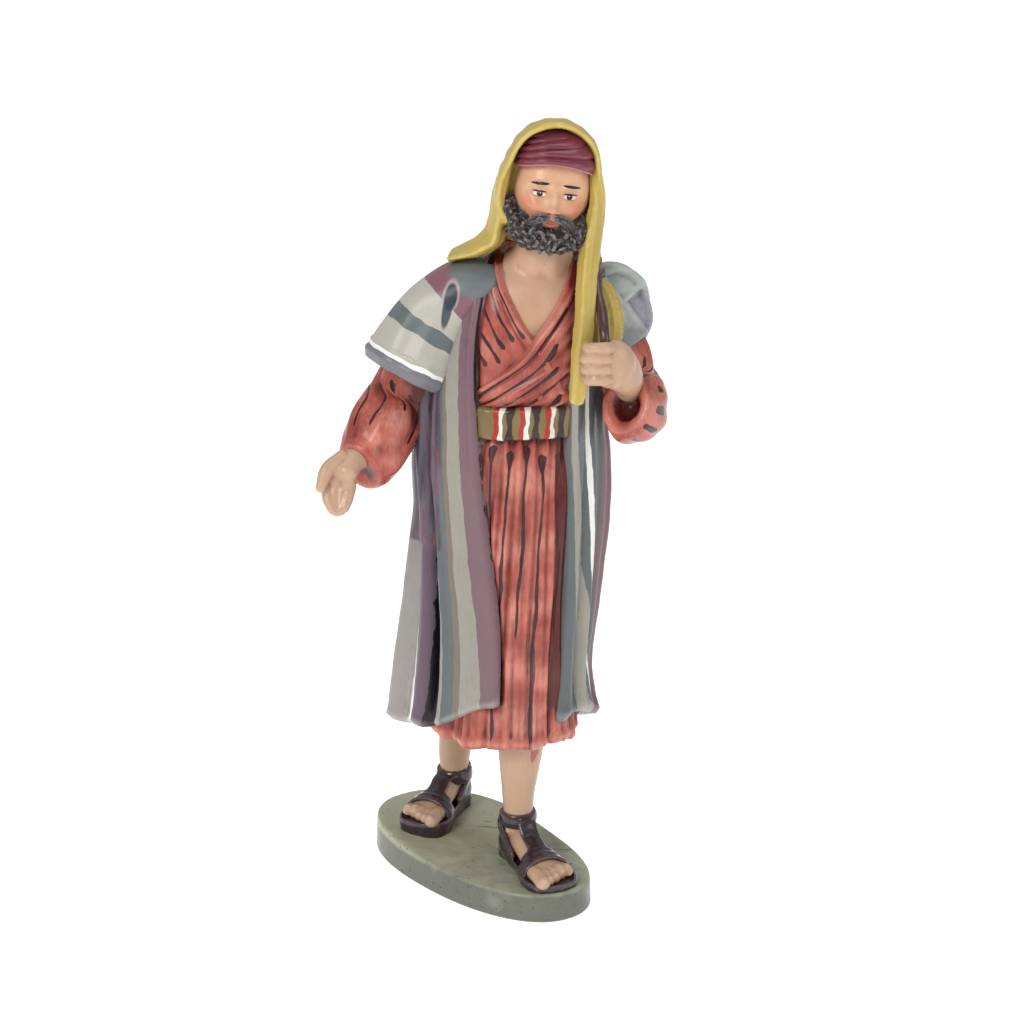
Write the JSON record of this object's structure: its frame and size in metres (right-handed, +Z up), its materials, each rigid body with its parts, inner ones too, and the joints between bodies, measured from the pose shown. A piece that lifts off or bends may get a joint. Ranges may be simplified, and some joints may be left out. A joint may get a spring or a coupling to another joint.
{
  "type": "nativity shepherd figurine",
  "caption": "Painted resin nativity shepherd in striped robe and cloak, headscarf and sandals, hand held out, bundle on the shoulder, on an oval ground base.",
  "frame": {"origin": "centre of the flat oval underside of the ground base", "axes": "+Z up along the figure's height, -Y the way the figure faces, +X towards the figure's left hand, which holds the bundle's strap"},
  "size_m": [0.0548, 0.0426, 0.1251],
  "materials": {
    "painted_resin": "hand-painted cast resin under a gloss varnish"
  },
  "bodies": {
    "root": {"shepherd_figurine": "painted_resin"}
  },
  "joints": []
}
